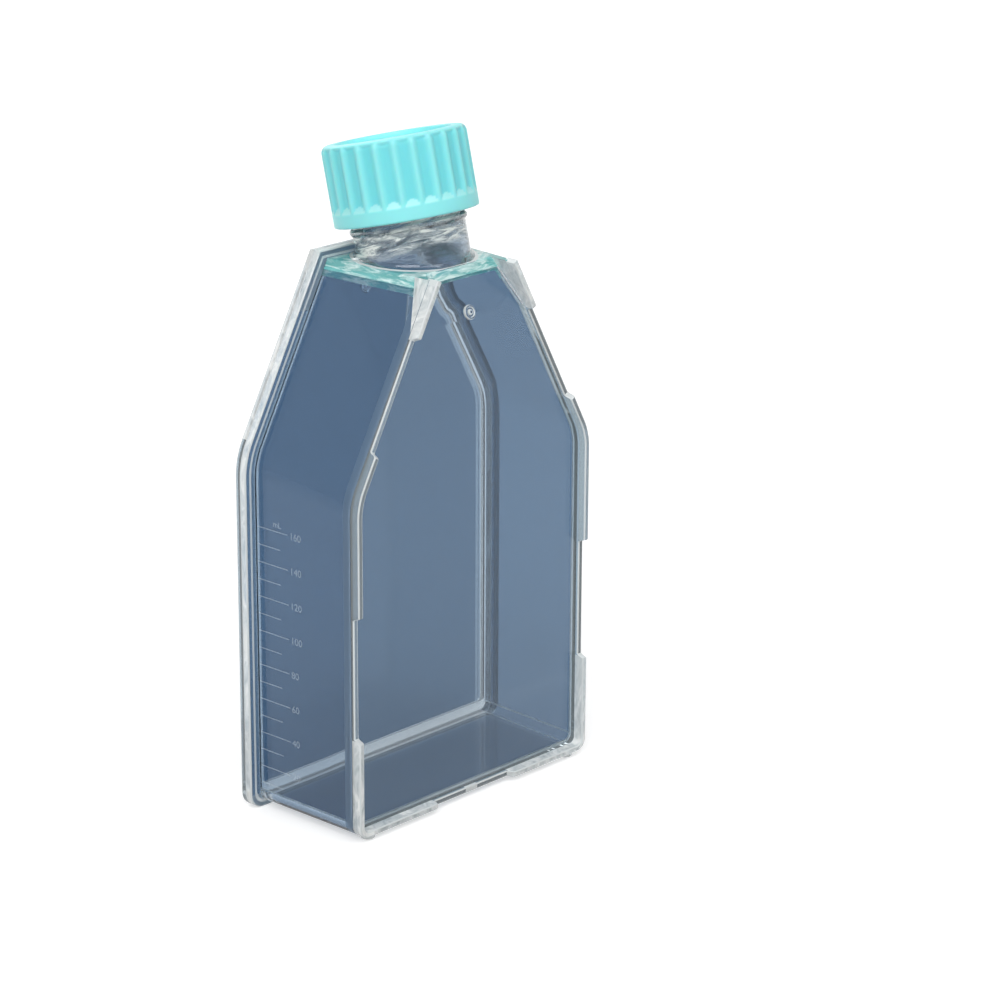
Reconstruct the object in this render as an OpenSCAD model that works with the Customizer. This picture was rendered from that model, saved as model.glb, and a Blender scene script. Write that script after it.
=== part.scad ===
// Cell culture flask: a clear shell with a canted screw neck, closed behind by a welded plate.
// X runs across the width, Y from the front wall to the rear plate, Z up. Lengths in millimetres.

/* [Flask body] */
// Width of the front wall, outside
body_w = 80; // [68:0.5:96]
// Depth from the front wall's face to the rear plate's back
body_d = 34.3; // [34:0.1:42]
// Height of the body's underside above the ground
base_gap = 1.3; // [0.8:0.1:2.5]
// Height at which the side walls turn into the shoulders, at the front wall
shoulder_z = 84; // [70:0.5:101]
// How much higher that bend lies at the rear flange
shoulder_rise = 3; // [0:0.1:4]
// Height of the top plate's upper face
top_z = 131; // [122:0.5:157]
// Thickness of the front, side and bottom walls
wall_t = 1.4; // [1:0.1:2]
// Thickness of the top plate
top_t = 2; // [1.6:0.1:3]
// Widening of each side wall from front to rear
draft = 0.9; // [0.2:0.1:1.5]
// Radius of the lower corners
corner_r = 3; // [2.4:0.1:6]
// Radius of the bend between side wall and shoulder
bend_r = 16; // [6:1:24]

/* [Recessed upper front] */
// How far below the top plate the front wall starts to lean back
fold_drop = 11.5; // [9:0.5:24]
// How far back the front wall stands at the top plate
recess_d = 4.4; // [3:0.1:4.5]

/* [Front rim and stacking ribs] */
// Height of the thin rim on the front wall
lip_h = 0.8; // [0.4:0.1:1.5]
// Width of the rim and of the stacking ribs
rib_w = 1.5; // [1:0.1:2.5]
// Height of the stacking ribs on the front wall
rib_h = 2.6; // [1.6:0.1:3.2]
// Length of the lower ribs along the bottom edge
foot_rib_x = 27; // [16:1:32]
// Length of the lower ribs up the side edge
foot_rib_z = 24.5; // [14:0.5:34]
// How far the shoulder ribs reach below the bend
bend_rib_down = 28; // [16:0.5:34]
// How far the shoulder ribs reach above the bend
bend_rib_up = 10; // [6:0.5:14]
// Radius of the two small front feet
foot_r = 1.7; // [1:0.1:2.4]
// Distance of each foot from the side wall's face
foot_in = 5.7; // [3:0.1:12]

/* [Weld flange and rear plate] */
// Width of the flange past the side walls
flange_w = 2.9; // [2:0.1:4]
// Height of the flange above the top plate
flange_rise = 2; // [1:0.1:2.4]
// Thickness of the body's half of the flange
flange_t = 1.8; // [1.2:0.1:2.4]
// Thickness of the rear plate
plate_t = 1.8; // [1.4:0.1:2.4]
// Radius of the flange's lower corners
flange_r = 4; // [3:0.5:8]
// Height of the locating tongue on the rear plate
tongue_h = 1; // [0.6:0.1:1.6]
// Width of the locating tongue
tongue_w = 1.2; // [0.8:0.1:2]
// Gap between the tongue and the walls around it
tongue_gap = 0.2; // [0.1:0.05:0.4]

/* [Neck] */
// Backward lean of the neck
neck_lean = 13.8; // [8:0.2:15]
// Gap between the neck and the rear plate, at the flange's upper edge
neck_clear = 0.1; // [0.05:0.05:0.6]
// Outer diameter of the neck at the thread's root
neck_od = 26.6; // [22:0.1:26.8]
// Wall of the neck
neck_wall = 1.8; // [1.5:0.1:2.4]
// Length of the neck along its axis, from the top plate
neck_len = 24.3; // [21:0.1:28]
// Top plate on each side of the neck
neck_margin = 1.1; // [0.8:0.1:4]
// Height of the bead under the cap above the neck's own face
bead_out = 0.6; // [0.3:0.1:0.8]
// Distance of the bead's middle from the top plate
bead_at = 7.6; // [6.5:0.1:8]
// Width of the bead along the neck
bead_h = 1.2; // [0.8:0.1:1.6]

/* [Screw cap] */
// Height of the cap
cap_h = 19.3; // [16.5:0.1:21]
// Gap between the bead and the cap's bore, which is the root of the cap's thread
bore_gap = 0.85; // [0.6:0.05:1]
// Wall of the cap, from its bore to the crests of its grip ribs
cap_wall = 2.35; // [2.1:0.05:3.2]
// Depth of the grip flutes
flute_d = 0.7; // [0.4:0.1:0.9]
// Number of grip ribs
rib_count = 24; // [18:1:32]
// Radius of each grip rib's crest
crest_r = 1.1; // [0.9:0.1:1.4]
// Height of the plain band at the cap's lower edge
band_h = 2.6; // [1.6:0.1:3.6]
// Bevel around the cap's top
cap_bevel = 1.6; // [0.8:0.1:2]
// Width of the raised ring around the cap's top
top_ring_w = 3.4; // [2.6:0.1:5]
// Depth of the cap's sunk centre
top_sunk = 1.2; // [0.6:0.1:1.6]
// Thickness of the cap's roof
roof_t = 1.6; // [1.2:0.1:2]

/* [Sealing disc] */
// Thickness of the sealing disc
seal_t = 1.2; // [0.8:0.1:1.6]
// Gap between the disc and what it faces
seal_gap = 0.1; // [0.05:0.05:0.2]
// Gap between the disc's edge and the cap's bore
seal_edge_gap = 0.35; // [0.25:0.05:0.6]

/* [Hidden] */
$fn = 72;
clear_ps = [0.78, 0.86, 0.93, 0.45];
turquoise = [0.44, 0.88, 0.88];
soft_white = [0.92, 0.92, 0.90];
eps = 0.4;

// Lean of the shoulders from the vertical, from the widths below and above them
top_w = neck_od + 2 * neck_margin;
shoulder_lean = atan((body_w - top_w) / 2 / (top_z - shoulder_z));
rear_bend_z = shoulder_z + shoulder_rise;
plate_y = body_d - plate_t;
flange_y = plate_y - flange_t;
floor_z = base_gap + wall_t;
ceiling_z = top_z - top_t;
fold_z = top_z - fold_drop;
recess_lean = atan(recess_d / fold_drop);

// Neck and cap; the cap's lower edge lies where the disc seats on the neck's rim
neck_y = plate_y - neck_clear - neck_od / 2 / cos(neck_lean) - flange_rise * tan(neck_lean);
neck_id = neck_od - 2 * neck_wall;
bead_od = neck_od + 2 * bead_out;
cap_bore = bead_od + 2 * bore_gap;
cap_od = cap_bore + 2 * cap_wall;
cap_inside = cap_h - top_sunk - roof_t;
cap_at = neck_len + seal_gap * 2 + seal_t - cap_inside;

// The origin lies at floor level in the middle of the whole flask's box, cap included
y_back = neck_y + (cap_at + cap_h - cap_bevel) * sin(neck_lean) + cap_od / 2 * cos(neck_lean);
y_mid = (y_back - rib_h) / 2;

// Points on an arc of the outline, in the plane of the width and the height
function arc(cx, cz, r, from, to, steps = 6) =
    [for (i = [0 : steps]) let (a = from + (to - from) * i / steps) [cx + r * cos(a), cz + r * sin(a)]];

// Right half of the outline: the walls moved outwards by grow, a bottom at zb, a bend at zs and
// a top at zt
function right_side(grow, zb, rb, zs, zt) = concat(
    arc(body_w / 2 + grow - rb, zb + rb, rb, -90, 0),
    arc(body_w / 2 - bend_r, zs - bend_r * tan(shoulder_lean / 2), bend_r + grow, 0, shoulder_lean),
    [[body_w / 2 + grow / cos(shoulder_lean) - (zt - zs) * tan(shoulder_lean), zt]]
);

function mirrored(points) = [for (i = [len(points) - 1 : -1 : 0]) [-points[i][0], points[i][1]]];

module outline(grow, zb, rb, zs, zt) {
    side = right_side(grow, zb, rb, zs, zt);
    polygon(concat(side, mirrored(side)));
}

// A drawing in the width and height, given a thickness from y0 to y1
module slab(y0, y1) {
    translate([0, y1, 0]) rotate([90, 0, 0]) linear_extrude(y1 - y0) children();
}

// The solid between a front outline and a rear one that is larger by the draft, with a higher bend
module drafted(y0, y1, inset, zb, rb, zt) {
    hull() {
        slab(y0, y0 + eps) outline(-inset - draft, zb, rb, shoulder_z, zt);
        slab(y1 - eps, y1) outline(-inset, zb, rb, rear_bend_z, zt);
    }
}

// What lies in front of a leaning plane that starts at fold_z, moved back by set_back
module in_front_of_lean(set_back) {
    far = 60;
    translate([0, set_back / cos(recess_lean), fold_z]) rotate([-recess_lean, 0, 0])
        translate([-body_w, -far, 0]) cube([body_w * 2, far, far * 2]);
}

module on_neck_axis() {
    translate([0, neck_y, top_z]) rotate([-neck_lean, 0, 0]) children();
}

// What the front wall's rim encloses, open at the top
module inside_ring(zb, rb) {
    outline(-draft - rib_w, zb, rb, shoulder_z, top_z + rib_h);
}

// The rim of width rib_w that follows the front wall's bottom and side edges
module edge_ring() {
    difference() {
        outline(-draft, base_gap, corner_r, shoulder_z, top_z);
        inside_ring(base_gap + rib_w, corner_r - rib_w);
    }
}

// The stretches of that ring that stand up as stacking ribs
module rib_zones() {
    for (s = [-1, 1])
        translate([s * (body_w / 2 - foot_rib_x / 2), base_gap + foot_rib_z / 2])
            square([foot_rib_x, foot_rib_z], center = true);
    translate([-body_w, shoulder_z - bend_rib_down])
        square([body_w * 2, bend_rib_down + bend_rib_up]);
    translate([-body_w, fold_z - 1]) square([body_w * 2, top_z]);
}

module front_rim() {
    slab(-lip_h, eps) edge_ring();
    slab(-rib_h, eps) intersection() {
        edge_ring();
        rib_zones();
    }
    for (s = [-1, 1])
        translate([s * (body_w / 2 - foot_in), rib_w / 2 - lip_h, 0]) cylinder(h = floor_z, r = foot_r);
}

module weld_flange(y0, y1) {
    slab(y0, y1) outline(flange_w, 0, flange_r, rear_bend_z, top_z + flange_rise);
}

// The room for the neck and the cavity, which the flange goes around
module cavity() {
    difference() {
        drafted(wall_t, plate_y + 1, wall_t, floor_z, corner_r - wall_t, ceiling_z);
        in_front_of_lean(wall_t);
    }
}

module neck_outside() {
    intersection() {
        on_neck_axis() {
            translate([0, 0, -10]) cylinder(h = neck_len + 10, d = neck_od);
            translate([0, 0, bead_at - bead_h / 2]) cylinder(h = bead_h, d = bead_od);
        }
        translate([-body_w, 0, ceiling_z]) cube([body_w * 2, body_d * 2, neck_len * 2]);
    }
}

module flask_body() {
    color(clear_ps) translate([0, -y_mid, 0]) difference() {
        union() {
            drafted(0, plate_y, 0, base_gap, corner_r, top_z);
            front_rim();
            weld_flange(flange_y, plate_y);
            neck_outside();
        }
        // the recess between the two corner webs
        intersection() {
            in_front_of_lean(0);
            slab(-rib_h * 2, body_d / 2) inside_ring(base_gap, corner_r);
        }
        cavity();
        on_neck_axis() translate([0, 0, -neck_len / 2]) cylinder(h = neck_len * 2, d = neck_id);
    }
}

module rear_plate() {
    tongue_in = wall_t + tongue_gap + draft * tongue_h / plate_y;
    color(clear_ps) translate([0, -y_mid, 0]) {
        weld_flange(plate_y, body_d);
        slab(plate_y - tongue_h, body_d - plate_t / 2) difference() {
            outline(-tongue_in, floor_z + tongue_gap, corner_r - wall_t, rear_bend_z,
                ceiling_z - tongue_gap);
            outline(-tongue_in - tongue_w, floor_z + tongue_gap + tongue_w, corner_r - wall_t,
                rear_bend_z, ceiling_z - tongue_gap - tongue_w);
        }
    }
}

module seal_liner() {
    color(soft_white) translate([0, -y_mid, 0]) on_neck_axis()
        translate([0, 0, neck_len + seal_gap]) cylinder(h = seal_t, d = cap_bore - seal_edge_gap * 2);
}

// Grip ribs: upright half-round crests around the cap's wall
module grip_ribs() {
    for (i = [0 : rib_count - 1])
        rotate([0, 0, i * 360 / rib_count])
            translate([cap_od / 2 - crest_r, 0, band_h / 2])
                cylinder(h = cap_h - band_h / 2, r = crest_r, $fn = 32);
}

// The cap's outermost form: a cylinder with a bevelled top
module cap_envelope() {
    rotate_extrude()
        polygon([[0, 0], [cap_od / 2, 0], [cap_od / 2, cap_h - cap_bevel],
            [cap_od / 2 - cap_bevel, cap_h], [0, cap_h]]);
}

module screw_cap() {
    color(turquoise) translate([0, -y_mid, 0]) on_neck_axis() translate([0, 0, cap_at]) difference() {
        intersection() {
            union() {
                cylinder(h = cap_h, r = cap_od / 2 - flute_d);
                cylinder(h = band_h, d = cap_od);
                grip_ribs();
            }
            cap_envelope();
        }
        translate([0, 0, -1]) cylinder(h = cap_inside + 1, d = cap_bore);
        translate([0, 0, cap_h - top_sunk]) cylinder(h = cap_h, r = cap_od / 2 - top_ring_w);
    }
}

flask_body();
rear_plate();
seal_liner();
screw_cap();
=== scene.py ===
import math

import bmesh
import bpy
from mathutils import Matrix, Vector


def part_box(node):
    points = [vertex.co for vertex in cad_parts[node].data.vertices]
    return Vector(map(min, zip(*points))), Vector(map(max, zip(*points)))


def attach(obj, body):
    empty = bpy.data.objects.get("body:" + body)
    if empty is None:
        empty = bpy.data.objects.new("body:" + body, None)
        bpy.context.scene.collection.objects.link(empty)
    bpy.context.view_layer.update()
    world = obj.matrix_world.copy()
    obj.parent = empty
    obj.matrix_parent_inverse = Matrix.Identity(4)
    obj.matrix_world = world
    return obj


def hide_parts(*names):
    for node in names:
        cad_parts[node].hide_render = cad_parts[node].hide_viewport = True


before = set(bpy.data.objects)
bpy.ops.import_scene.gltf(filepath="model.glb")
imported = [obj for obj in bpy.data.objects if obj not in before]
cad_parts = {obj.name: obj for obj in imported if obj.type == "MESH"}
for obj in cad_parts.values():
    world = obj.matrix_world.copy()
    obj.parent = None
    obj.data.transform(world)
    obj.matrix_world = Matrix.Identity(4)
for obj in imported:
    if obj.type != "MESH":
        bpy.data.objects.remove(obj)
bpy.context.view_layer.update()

# --- Flask body -------------------------------------------------------------------------------
# One clear polystyrene injection moulding: front wall, floor, sides with their shoulders, top
# plate, neck and the front half of the weld flange. The cavity's core leaves rounded inner corners.
# Lengths are in millimetres, with y = 0 on the front wall's face, and go to metres at the end.
WIDTH, GAP, WALL, TOP_WALL = 80.0, 1.3, 1.4, 2.0        # GAP keeps the floor off the ground
BEND_Z, BEND_RISE, TOP_Z = 84.0, 3.0, 131.0             # the shoulders' foot rises to the rear
DRAFT, CORNER_R, BEND_R = 0.9, 3.0, 16.0
FLANGE_Y, PLATE_Y, REAR_Y = 30.7, 32.5, 34.3            # weld flange, rear plate, rearmost face
FLANGE_OUT, FLANGE_RISE, FLANGE_R = 2.9, 2.0, 4.0
LIP, RIB, RIB_W = 0.8, 2.6, 1.5                         # the rim is LIP high, its ribs RIB
FOLD_Z, RECESS = 119.5, 4.4                             # the front leans back above the fold
LEAN, NECK_R, NECK_WALL, NECK_LEN = math.radians(13.8), 13.3, 1.8, 24.3
NECK_MARGIN, NECK_CLEAR = 1.1, 0.1                      # beside the neck, and behind it
SHOULDER = math.atan((WIDTH / 2 - NECK_R - NECK_MARGIN) / (TOP_Z - BEND_Z))
Y_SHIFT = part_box("flask_body")[0].y * 1000 + RIB
NECK_Y = PLATE_Y - NECK_CLEAR - NECK_R / math.cos(LEAN) - FLANGE_RISE * math.tan(LEAN)
NECK_PLACE = Matrix.Translation((0, NECK_Y, TOP_Z)) @ Matrix.Rotation(-LEAN, 4, "X")
QUARTER = math.pi / 2

# Faces are told apart by place and slope: beyond SIDE_X of the middle they belong to a side, below
# LOW_Z to the floor's edge, and a normal's y of SQUARE or more means that they face front or rear.
SIDE_X, LOW_Z, SQUARE, UPRIGHT = 12, 6, 0.97, 0.08


def linear(hex_colour):
    values = [int(hex_colour[i:i + 2], 16) / 255 for i in (1, 3, 5)]
    return [v / 12.92 if v < 0.04045 else ((v + 0.055) / 1.055) ** 2.4 for v in values] + [1.0]


def add(tree, kind, links=None, **settings):
    """Adds one node; links maps an input to a socket, and settings are properties or inputs."""
    node = tree.nodes.new(kind)
    for name, value in settings.items():
        if hasattr(node, name):
            setattr(node, name, value)
        else:
            node.inputs[name.replace("_", " ")].default_value = value
    for name, socket in (links or {}).items():
        if hasattr(socket, "is_output"):
            tree.links.new(socket, node.inputs[name])
        else:
            node.inputs[name].default_value = socket
    return node


def new_material(name):
    material = bpy.data.materials.new(name)
    material.use_nodes = True
    material.node_tree.nodes.clear()
    return material, material.node_tree


# a gleam below 1 weakens the mirror reflections, which keeps the broad panels even
POLYSTYRENE_IOR, PANEL_GLEAM = 1.59, 0.3


def clear_plastic(name, tint, clear=1.0, rough=0.0, wave_mm=0.0, wave_height_mm=0.0, gleam=1.0):
    """Injection-moulded polystyrene: clear and glossy, some of it with a mould's faint waves."""
    material, tree = new_material(name)
    shader = add(tree, "ShaderNodeBsdfPrincipled", Base_Color=linear(tint), IOR=POLYSTYRENE_IOR,
                 Roughness=rough, Transmission_Weight=clear,
                 Specular_Tint=(gleam, gleam, gleam, 1.0))
    if wave_mm:
        place = add(tree, "ShaderNodeTexCoord").outputs["Object"]
        waves = add(tree, "ShaderNodeTexNoise", {"Vector": place},
                    Scale=1000 / wave_mm, Detail=2.0, Roughness=0.4)
        bump = add(tree, "ShaderNodeBump", {"Height": waves.outputs[0]},
                   Strength=0.5, Distance=wave_height_mm / 1000)
        shine = add(tree, "ShaderNodeMapRange",
                    {0: waves.outputs[0], 3: rough * 0.6, 4: rough * 1.4})
        tree.links.new(bump.outputs[0], shader.inputs["Normal"])
        tree.links.new(shine.outputs[0], shader.inputs["Roughness"])
    add(tree, "ShaderNodeOutputMaterial", {"Surface": shader.outputs[0]})
    return material


def streaked_plastic(name, tint, streak, grow, ramp, size_mm, stretch, clear=1.0, turn=0.0,
                     start_mm=None):
    """Polystyrene with pale streaks that are painted highlights, above a height on the turned axis
    where one is given.
    """
    material, tree = new_material(name)
    place = add(tree, "ShaderNodeMapping",
                {"Vector": add(tree, "ShaderNodeTexCoord").outputs["Object"],
                 "Rotation": (turn, 0.0, 0.0)})
    drawn = add(tree, "ShaderNodeMapping",
                {"Vector": place.outputs[0], "Scale": (1.0, 1.0, stretch)})
    flow = add(tree, "ShaderNodeTexNoise", {"Vector": drawn.outputs[0]},
               Scale=1000 / size_mm, Detail=4.0, Roughness=0.6, Distortion=0.8)
    pale = add(tree, "ShaderNodeMapRange", {0: flow.outputs[0], 1: grow, 2: grow + ramp})
    if start_mm:
        height = add(tree, "ShaderNodeSeparateXYZ", {0: place.outputs[0]})
        above = add(tree, "ShaderNodeMapRange", {0: height.outputs["Z"], 1: start_mm / 1000,
                                                 2: (start_mm + 2.4) / 1000})
        pale = add(tree, "ShaderNodeMath", {0: pale.outputs[0], 1: above.outputs[0]},
                   operation="MULTIPLY")
    colour = add(tree, "ShaderNodeMix", {0: pale.outputs[0], 6: linear(tint), 7: linear(streak)},
                 data_type="RGBA")
    through = add(tree, "ShaderNodeMapRange", {0: pale.outputs[0], 3: clear, 4: 0.2})
    bump = add(tree, "ShaderNodeBump", {"Height": flow.outputs[0]}, Strength=0.6, Distance=0.0002)
    shader = add(tree, "ShaderNodeBsdfPrincipled",
                 {"Base Color": colour.outputs[2], "Transmission Weight": through.outputs[0],
                  "Normal": bump.outputs[0]}, IOR=POLYSTYRENE_IOR, Roughness=0.05)
    add(tree, "ShaderNodeOutputMaterial", {"Surface": shader.outputs[0]})
    return material


# The broad faces are polished, so they are even. Each wall carries its share of a slate tint, which
# adds up through the walls. The tint is painted: it stands in for a dark backdrop seen through the
# clear plastic, and some walls get darker tints as painted shade. Rounded edges carry a painted
# highlight in a near-white, mostly opaque finish. The corner webs and lower ribs carry a painted
# white highlight with pale streaks, and the weld is left clear. Painted highlight streaks ring the
# neck, and the top plate's teal is a painted reflection of the cap. The front corner is half clear
# in a dark painted tint, which hides the dark inside of the wall's end.
FRONT, LINE, NECK, TOP, WHITE, REAR, RIB_SIDE, SIDE, CLEAR, FLOOR, CORNER = range(11)
finishes = [
    clear_plastic("clear_polystyrene_front_wall", "#C3CFDA", gleam=PANEL_GLEAM),
    # near-white and mostly opaque: the painted edge highlight
    clear_plastic("clear_polystyrene_bright_edge", "#F6FBFB", 0.35, 0.06, 2.0, 0.02),
    # the neck's slate is painted backdrop and its pale streaks are painted highlights, drawn only
    # above a height so that its lower part keeps the painted slate as painted shade
    streaked_plastic("clear_polystyrene_neck", "#A3B4C3", "#FAFFFA", grow=0.41, ramp=0.2,
                     size_mm=6.5, stretch=5.0, turn=0.33, start_mm=123.8),
    # the top plate's teal is a painted reflection of the turquoise cap, and its pale streaks are
    # painted highlights
    streaked_plastic("clear_polystyrene_top_plate", "#84E0DE", "#E6FFFC", grow=0.44, ramp=0.18,
                     size_mm=6.0, stretch=5.0, clear=0.5),
    # the painted white highlight, with pale streaks
    streaked_plastic("milky_polystyrene", "#D8E3E7", "#FDFFFD", grow=0.28, ramp=0.34,
                     size_mm=4.0, stretch=0.4, clear=0.62),
    clear_plastic("clear_polystyrene_rear_plate", "#688098", gleam=PANEL_GLEAM),
    # a duller copy of the edge finish: painted shade on the sides of ribs
    clear_plastic("clear_polystyrene_rib_side", "#B4C4CC", 0.68, 0.03, 4.0, 0.02),
    clear_plastic("clear_polystyrene_side_wall", "#A6B8CA", gleam=PANEL_GLEAM),
    clear_plastic("clear_polystyrene_weld", "#FDFFFF", 0.9, 0.03, 1.5, 0.01),
    clear_plastic("clear_polystyrene_floor", "#758DA5", gleam=PANEL_GLEAM),
    clear_plastic("clear_polystyrene_corner", "#6A829C", 0.5, 0.03, 4.0, 0.02, PANEL_GLEAM)]


def arc(cx, cz, r, start, end, steps=8):
    turns = [start + (end - start) * i / steps for i in range(steps + 1)]
    return [(cx + r * math.cos(a), cz + r * math.sin(a)) for a in turns]


def outline(grow, zb, rb, zs, zt):
    """The flask's outline in width and height, from the bottom's right corner round to its left."""
    side = arc(WIDTH / 2 + grow - rb, zb + rb, rb, -QUARTER, 0)
    side += arc(WIDTH / 2 - BEND_R, zs - BEND_R * math.tan(SHOULDER / 2), BEND_R + grow,
                0, SHOULDER)
    for z in (FOLD_Z, zt - TOP_WALL - 0.3, zt):
        side.append((WIDTH / 2 + grow / math.cos(SHOULDER) - (z - zs) * math.tan(SHOULDER), z))
    return side + [(-x, z) for x, z in reversed(side)]


def in_scene(name, data):
    piece = bpy.data.objects.new(name, data)
    bpy.context.scene.collection.objects.link(piece)
    return piece


def mesh_of(name, bm, *materials):
    mesh = bpy.data.meshes.new(name)
    bm.to_mesh(mesh)
    bm.free()
    for material in materials:
        mesh.materials.append(material)
    return mesh


def plain_mesh(piece):
    """The plain mesh that a piece's modifiers or a tree give."""
    return bpy.data.meshes.new_from_object(
        piece.evaluated_get(bpy.context.evaluated_depsgraph_get()))


def outwards(bm):
    bmesh.ops.remove_doubles(bm, verts=bm.verts, dist=1e-5)
    bmesh.ops.recalc_face_normals(bm, faces=bm.faces)


def solid(name, bm):
    """An object of the finished mesh, with its faces pointing outwards."""
    outwards(bm)
    return in_scene(name, mesh_of(name, bm, *finishes))


def loft(name, rings, finish=FRONT, lined=(), soft=()):
    """A solid through rings of one length, closed at both ends by rungs level with the ground.

    Columns in lined get the painted edge highlight, and so do faces in bands in soft on the right
    or low down; the rest of those take a duller finish that is painted shade. The columns over the
    top plate are its own."""
    bm = bmesh.new()
    made = [[bm.verts.new(p) for p in ring] for ring in rings]
    n = len(made[0])
    for k in range(len(made) - 1):
        for i in range(n):
            j = (i + 1) % n
            face = bm.faces.new([made[k][i], made[k][j], made[k + 1][j], made[k + 1][i]])
            face.material_index = LINE if min(i, n - 2 - i) in lined else finish
            if k in soft:
                # in the soft bands, faces on the right or low down get the painted edge highlight,
                # and the rest a duller finish that is painted shade
                spot = face.calc_center_median()
                on_show = spot.x > SIDE_X or spot.z < LOW_Z
                face.material_index = LINE if on_show else RIB_SIDE
            # the columns over the top plate take its teal, a painted reflection of the cap
            if abs(i - n // 2 + 1) < 2 and finish == FRONT:
                face.material_index = TOP
    for ring in (made[0], made[-1]):
        for i in range(n // 2 - 1):
            face = bm.faces.new([ring[i], ring[i + 1], ring[-2 - i], ring[-1 - i]])
            face.material_index = finish
    return solid(name, bm)


def circle(r, h, segments):
    turns = [2 * math.pi * i / segments for i in range(segments)]
    return [Vector((r * math.cos(a), r * math.sin(a), h)) for a in turns]


def turned(name, profile, place, segments=96, material=LINE):
    """A closed solid turned about the z axis from a profile of (radius, height), then placed."""
    bm = bmesh.new()
    rings = []
    for r, h in profile:
        if r == 0:
            rings.append([bm.verts.new((0, 0, h))] * segments)
        else:
            rings.append([bm.verts.new(p) for p in circle(r, h, segments)])
    for a, b in zip(rings, rings[1:]):
        for i in range(segments):
            j = (i + 1) % segments
            corners = list(dict.fromkeys([a[i], a[j], b[j], b[i]]))
            if len(corners) > 2:
                bm.faces.new(corners).material_index = material
    bmesh.ops.transform(bm, matrix=place, verts=bm.verts)
    return solid(name, bm)


def cut_or_join(piece, other, operation):
    step = piece.modifiers.new(operation, "BOOLEAN")
    step.operation, step.object, step.solver = operation, other, "MANIFOLD"
    shape = plain_mesh(piece)
    piece.modifiers.remove(step)
    assert len(shape.polygons) > 0, f"{other.name}: nothing left after {operation}"
    piece.data = shape
    bpy.data.objects.remove(other)


def ring_at(y, grow=0.0, zb=GAP, rb=CORNER_R, zt=TOP_Z, leaning=False):
    """One ring of the drafted block, whose sides widen and whose bend rises towards the rear."""
    t = min(max(y / PLATE_Y, 0.0), 1.0)
    slope = RECESS / (TOP_Z - FOLD_Z) if leaning else 0
    return [(x, y + slope * max(z - FOLD_Z, 0), z)
            for x, z in outline(grow - DRAFT * (1 - t), zb, rb, BEND_Z + BEND_RISE * t, zt)]


# a border on the front face, then the sides in bands, from the front corner's to the weld's
BORDER, CORNER_Y, WELD_Y = 2.8, 2.4, 28.6
rings = [ring_at(0, -BORDER, GAP + BORDER, 1.0, TOP_Z - 0.5)]
rings += [ring_at(y) for y in (0, CORNER_Y, 5, 10, 15, 20, 25, WELD_Y, PLATE_Y - 0.02)]
body = loft("flask_shell", rings)
around = len(rings[0])
# on the front border, faces on the right and low down take the duller rib-side finish, a painted
# shade, and the left wall's front corner takes the dark painted corner tint
for face in body.data.polygons[:around]:
    if face.center.x > SIDE_X or face.center.z < LOW_Z:
        face.material_index = RIB_SIDE
for face in body.data.polygons[around:2 * around]:
    if face.center.x < -SIDE_X:
        face.material_index = CORNER


def shoulder_x(y, z, inset):
    """How far from the middle the shoulder's outer face lies, less an inset."""
    back = y / PLATE_Y
    return (WIDTH / 2 - (DRAFT * (1 - back) + inset) / math.cos(SHOULDER)
            - (z - BEND_Z - BEND_RISE * back) * math.tan(SHOULDER))


def prism(name, ends, sides):
    """A solid between two outlines of one length, with one finish a side and ends in the painted
    white highlight.
    """
    bm = bmesh.new()
    near, far = [[bm.verts.new(p) for p in end] for end in ends]
    for i, finish in enumerate(sides):
        j = (i + 1) % len(sides)
        bm.faces.new([near[i], near[j], far[j], far[i]]).material_index = finish
    for end in (near, far):
        bm.faces.new(end).material_index = WHITE
    return solid(name, bm)


# the recess between the corner webs, with a rounded front edge on the top plate
slope = math.atan(RECESS / (TOP_Z - FOLD_Z))
edge_r, above = 0.6, 4
reach = RECESS + edge_r * math.tan((QUARTER - slope) / 2)
strip_z = TOP_Z - TOP_WALL - 0.3
profile = [(-6.0, FOLD_Z), (0.0, FOLD_Z), ((strip_z - FOLD_Z) * math.tan(slope), strip_z)]
for k in range(7):
    a = math.pi - slope - (QUARTER - slope) * k / 6
    profile.append((reach + edge_r * math.cos(a), TOP_Z + 0.01 - edge_r + edge_r * math.sin(a)))
profile += [(reach, TOP_Z + above), (-6.0, TOP_Z + above)]
ends = [[(s * shoulder_x(0, z, RIB_W), y, z) for y, z in profile] for s in (-1, 1)]
# the cut's rounded edge and top take the top plate's teal, a painted reflection of the cap, and its
# lower faces the front wall's painted tint
cut_or_join(body, prism("recess", ends, [FRONT] * 2 + [TOP] * (len(profile) - 2)), "DIFFERENCE")

# the webs beside the recess carry the painted white highlight on their whole outer face, a hair
# proud of the wall
WEB_PROUD = 0.015
for s in (-1, 1):
    ends = [[(s * shoulder_x(y, z, inset), y, z)
             for y, z in ((0.1, FOLD_Z + 0.4), (RECESS - 0.1, TOP_Z - 0.02), (0.1, TOP_Z - 0.02))]
            for inset in (-WEB_PROUD, RIB_W)]
    cut_or_join(body, prism("web", ends, [WHITE] * 3), "UNION")


def new_tree(name, **inputs):
    """A geometry tree with named inputs, and its input node."""
    tree = bpy.data.node_groups.new(name, "GeometryNodeTree")
    tree.interface.new_socket(name="Geometry", in_out="INPUT", socket_type="NodeSocketGeometry")
    kinds = {int: "NodeSocketInt", float: "NodeSocketFloat"}
    for key, value in inputs.items():
        socket = tree.interface.new_socket(name=key.replace("_", " "), in_out="INPUT",
                                           socket_type=kinds[type(value)])
        socket.default_value = value
    tree.interface.new_socket(name="Material", in_out="INPUT", socket_type="NodeSocketMaterial")
    tree.interface.new_socket(name="Geometry", in_out="OUTPUT", socket_type="NodeSocketGeometry")
    return tree, tree.nodes.new("NodeGroupInput").outputs


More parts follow.
